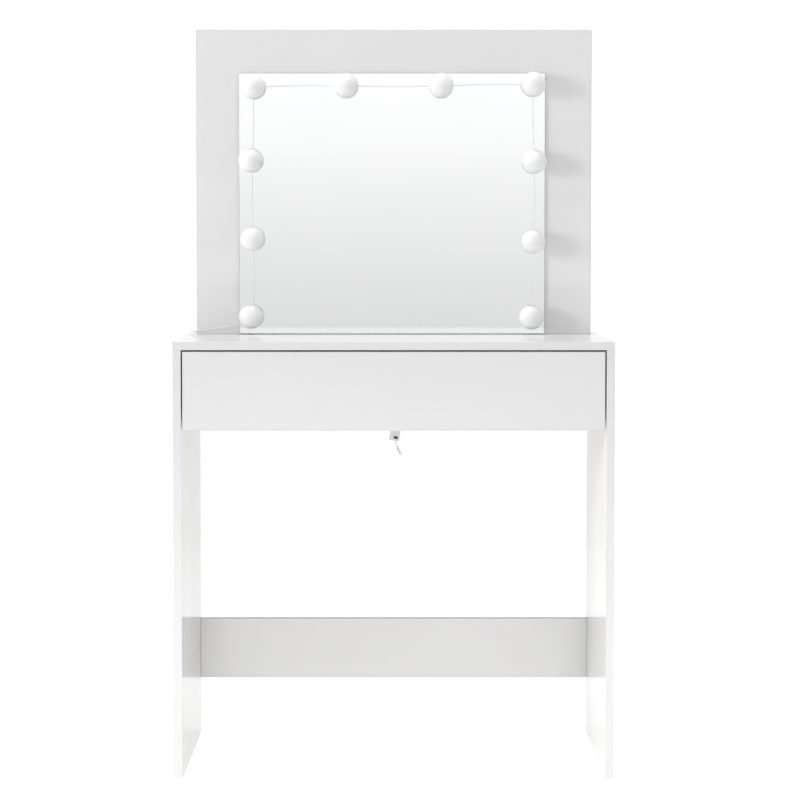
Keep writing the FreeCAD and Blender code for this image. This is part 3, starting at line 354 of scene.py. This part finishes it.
def steel(name):
    """Bright zinc plate, drawn fine scratches and small cloudy patches."""
    look = Look(name + "_look", metallic=1.0)
    cloud = look.between(look.noise(160, 4), 0, 1)
    look.set("Base Color", look.mix(cloud, (0.50, 0.52, 0.56, 1), (0.68, 0.69, 0.71, 1)))
    scratches = look.noise(1800, 3, (10, 1, 1))
    look.set("Roughness", look.between(scratches, 0.24, 0.44))
    look.set("Normal", look.bump(scratches, 0.00003))
    return look.material


def cam_zinc(name):
    """Die-cast zinc: dull grey, mottled and slightly pitted."""
    look = Look(name + "_look", metallic=0.9)
    mottle = look.between(look.noise(420, 5), 0, 1)
    look.set("Base Color", look.mix(mottle, (0.30, 0.31, 0.33, 1), (0.46, 0.47, 0.49, 1)))
    look.set("Roughness", look.between(look.noise(700, 4), 0.42, 0.60))
    look.set("Normal", look.bump(look.noise(1100, 4), 0.00009))
    return look.material


PER_NODE = ("white_board",)
MAKERS = {
    "white_board": white_board,
    "hardboard": hardboard,
    "dowel_wood": dowel_wood,
    "mirror": mirror,
    "foam_tape": foam_tape,
    "frosted_globe": frosted_globe,
    "white_plastic": white_plastic,
    "white_wire": white_wire,
    "white_steel": white_steel,
    "steel": steel,
    "cam_zinc": cam_zinc,
    "roller_nylon": roller_nylon,
    "foot_plastic": foot_plastic,
    "dark_plastic": dark_plastic,
}


def paint_cad_nodes():
    """Gives each CAD node the look of its slot in the record, and returns the shared looks."""
    shared = {slot: maker(slot) for slot, maker in MAKERS.items() if slot not in PER_NODE}
    for part in frame["record"]["subparts"]:
        name = part["node"]
        slot = part["material_slot"]
        look = MAKERS[slot](name) if slot in PER_NODE else shared[slot]
        node = frame["nodes"][name]
        node.data.materials.clear()
        node.data.materials.append(look)
    return shared


# ---------------------------------------------------------------- the lead and what is on it


def make_lead(looks):
    """One smooth curve from the lamp through the switch box to the plug."""
    curve = bpy.data.curves.new("lead", "CURVE")
    curve.dimensions = "3D"
    curve.bevel_depth = LEAD_DIAMETER / 2
    curve.bevel_resolution = 5
    curve.resolution_u = 10
    curve.use_fill_caps = True
    points = LEAD_TO_BOX + LEAD_TAIL
    spline = curve.splines.new("NURBS")
    spline.points.add(len(points) - 1)
    for point, place in zip(spline.points, points):
        point.co = (*place, 1)
    spline.order_u = 3
    spline.use_endpoint_u = True
    curve.materials.append(looks["white_wire"])
    lead = bpy.data.objects.new("lead", curve)
    scene.collection.objects.link(lead)
    return lead


RING_STEPS = 32


def turned(name, profile, start, direction, look):
    """A solid of revolution: the profile's (distance, radius) pairs along a direction from a start."""
    mesh = bmesh.new()
    turn = Vector(direction).to_track_quat("Z", "Y")
    rings = []
    for along, radius in profile:
        ring = []
        for step in range(RING_STEPS):
            angle = 2 * math.pi * step / RING_STEPS
            point = Vector((radius * math.cos(angle), radius * math.sin(angle), along))
            ring.append(mesh.verts.new(Vector(start) + turn @ point))
        rings.append(ring)
    for lower, upper in zip(rings, rings[1:]):
        for step in range(RING_STEPS):
            after = (step + 1) % RING_STEPS
            mesh.faces.new((lower[step], lower[after], upper[after], upper[step]))
    mesh.faces.new(reversed(rings[0]))
    mesh.faces.new(rings[-1])
    bmesh.ops.recalc_face_normals(mesh, faces=mesh.faces)
    for face in mesh.faces:
        face.smooth = len(face.verts) == 4
    data = bpy.data.meshes.new(name)
    mesh.to_mesh(data)
    mesh.free()
    data.materials.append(look)
    piece = bpy.data.objects.new(name, data)
    scene.collection.objects.link(piece)
    return piece


def boot_profile(length, wide, narrow, ribs):
    """A strain relief that tapers from wide to narrow radius, with a rib and a groove in each step."""
    profile = [(0, wide)]
    for rib in range(ribs):
        near = length * (rib + 0.35) / ribs
        far = length * (rib + 0.65) / ribs
        radius = wide + (narrow - wide) * (rib + 0.5) / ribs
        groove = radius - (wide - narrow) * 0.25
        profile += [(near, radius), (near + 0.0001, groove), (far, groove), (far + 0.0001, radius)]
    profile += [(length - 0.0002, narrow), (length, narrow - 0.0002)]
    return profile


def plug_profile():
    """A small moulded connector: a rounded body with two grip rings and a barrel at its end."""
    body = 0.0025
    profile = [(0, 0.0017), (0.0004, 0.0021), (0.0012, body)]
    for ring in (0.0032, 0.0050, 0.0068):
        profile += [(ring, body), (ring + 0.0003, body - 0.0003), (ring + 0.0007, body - 0.0003)]
        profile += [(ring + 0.0010, body)]
    profile += [(0.0128, body), (0.0133, body - 0.0002), (0.0135, body - 0.0006)]
    profile += [(0.0136, 0.0016), (0.0162, 0.0016), (0.0165, 0.0013)]
    return profile


def towards(first, second):
    return (Vector(second) - Vector(first)).normalized()


def dress_lead(looks):
    """The lead, the strain reliefs where it enters and leaves the switch box, and its plug."""
    lead = make_lead(looks)
    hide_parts("supply_lead", "lead_tail")
    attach(lead, "case")

    into_box = towards(LEAD_TO_BOX[-1], LEAD_TO_BOX[-2])
    out_of_box = towards(LEAD_TAIL[0], LEAD_TAIL[1])
    plug_way = towards(LEAD_TAIL[-2], LEAD_TAIL[-1])
    small_boot = boot_profile(0.0046, 0.0020, 0.00145, 2)
    big_boot = boot_profile(0.0085, 0.0023, 0.00145, 3)
    made = [
        turned("box_inlet_relief", big_boot, Vector(LEAD_TO_BOX[-1]) - into_box * 0.001, into_box,
               looks["white_plastic"]),
        turned("box_outlet_relief", small_boot, Vector(LEAD_TAIL[0]) - out_of_box * 0.001, out_of_box,
               looks["white_plastic"]),
        turned("plug_relief", small_boot, Vector(LEAD_TAIL[-1]) + plug_way * 0.0008, -plug_way,
               looks["white_plastic"]),
        turned("plug_body", plug_profile(), LEAD_TAIL[-1], plug_way, looks["white_plastic"]),
    ]
    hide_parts("lead_plug")
    for piece in made:
        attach(piece, "case")


# ---------------------------------------------------------------- floor, lights and surroundings

FLOOR_REACH = 2.8
# The floor glows round the table, and fades to a weak glow in front of it.
FLOOR_GLOW = 0.72
FRONT_GLOW = 0.08
GLOW_WEAK_FROM = -1.9
GLOW_FULL_FROM = -0.7
# name, place, aim, width, height, spread in degrees, watts. Gloss does not show a fill, so the mirror and
# the boards have no hard patch of light from it.
LIGHTS = (
    ("left_softbox", (-5.8, -2.4, 2.0), (0, 0, 0.9), 1.6, 1.6, 180, 200),
    ("right_softbox", (5.8, -2.4, 2.0), (0, 0, 0.9), 2.0, 2.0, 180, 35),
    ("top_softbox", (0, -0.2, 5.0), (0, 0, 0.8), 2.4, 1.8, 180, 125),
    ("front_fill", (0, -4.6, 1.5), (0, 0, 0.7), 2.5, 1.5, 180, 26),
    ("low_fill", (0, -2.4, 0.12), (0, 0.2, 0.2), 1.6, 0.15, 44, 1.2),
)


def make_floor():
    mesh = bmesh.new()
    bmesh.ops.create_grid(mesh, x_segments=2, y_segments=2, size=FLOOR_REACH)
    data = bpy.data.meshes.new("floor")
    mesh.to_mesh(data)
    mesh.free()
    look = Look("floor_look", roughness=0.6)
    look.set("Base Color", look.mix(look.between(look.noise(2, 3), 0, 1), grey(0.50), grey(0.52)))
    look.set("Normal", look.bump(look.noise(150, 3), 0.0001))
    look.set("Emission Color", (1, 1, 1, 1))
    forward = look.split(look.place)[1]
    glow = look.between(forward, FRONT_GLOW, FLOOR_GLOW, GLOW_WEAK_FROM, GLOW_FULL_FROM)
    look.set("Emission Strength", glow)
    data.materials.append(look.material)
    floor = bpy.data.objects.new("floor", data)
    scene.collection.objects.link(floor)


def make_lights():
    for name, place, aim, width, height, spread, watts in LIGHTS:
        data = bpy.data.lights.new(name, "AREA")
        data.shape = "RECTANGLE"
        data.size = width
        data.size_y = height
        data.spread = math.radians(spread)
        data.energy = watts
        light = bpy.data.objects.new(name, data)
        light.location = place
        light.rotation_euler = (Vector(aim) - Vector(place)).to_track_quat("-Z", "Y").to_euler()
        light.visible_camera = False
        light.visible_glossy = "fill" not in name
        scene.collection.objects.link(light)


# Brightness against the sine of the elevation: of the white cove behind the table, and of the room
# in front of it and to its sides, which the mirror shows as a grey that fades to white upwards.
COVE = ((-1.0, 1.05), (0.15, 1.05), (0.4, 0.45), (1.0, 0.30))
ROOM = ((-1.0, 0.74), (-0.045, 0.76), (0.018, 0.93), (0.045, 1.03), (0.09, 1.10), (0.2, 0.38), (1.0, 0.30))
# The room gives way to the cove as a direction's share towards the back goes from one to the other.
ROOM_ENDS, COVE_STARTS = 0.3, 0.7


def make_world():
    world = bpy.data.worlds.new("studio")
    world.use_nodes = True
    tree = world.node_tree
    link = tree.links.new
    direction = tree.nodes.new("ShaderNodeTexCoord").outputs["Generated"]
    split = tree.nodes.new("ShaderNodeSeparateXYZ")
    link(direction, split.inputs[0])

    def scale(source, start, end):
        node = tree.nodes.new("ShaderNodeMapRange")
        node.inputs["From Min"].default_value = start
        node.inputs["From Max"].default_value = end
        link(source, node.inputs["Value"])
        return node.outputs[0]

    def ramp(stops):
        node = tree.nodes.new("ShaderNodeValToRGB")
        brightest = max(level for _, level in stops)
        elements = node.color_ramp.elements
        while len(elements) < len(stops):
            elements.new(0.5)
        for element, (sine, level) in zip(elements, stops):
            element.position = (sine + 1) / 2
            element.color = grey(level / brightest)
        link(scale(split.outputs["Z"], -1, 1), node.inputs[0])
        background = tree.nodes.new("ShaderNodeBackground")
        background.inputs["Strength"].default_value = brightest
        link(node.outputs["Color"], background.inputs["Color"])
        return background.outputs[0]

    mix = tree.nodes.new("ShaderNodeMixShader")
    link(scale(split.outputs["Y"], ROOM_ENDS, COVE_STARTS), mix.inputs[0])
    link(ramp(ROOM), mix.inputs[1])
    link(ramp(COVE), mix.inputs[2])
    link(mix.outputs[0], tree.nodes["World Output"].inputs["Surface"])
    scene.world = world


# ---------------------------------------------------------------- the scene

make_camera()
looks = paint_cad_nodes()
dress_lead(looks)
make_floor()
make_lights()
make_world()
scene.view_settings.view_transform = "Standard"
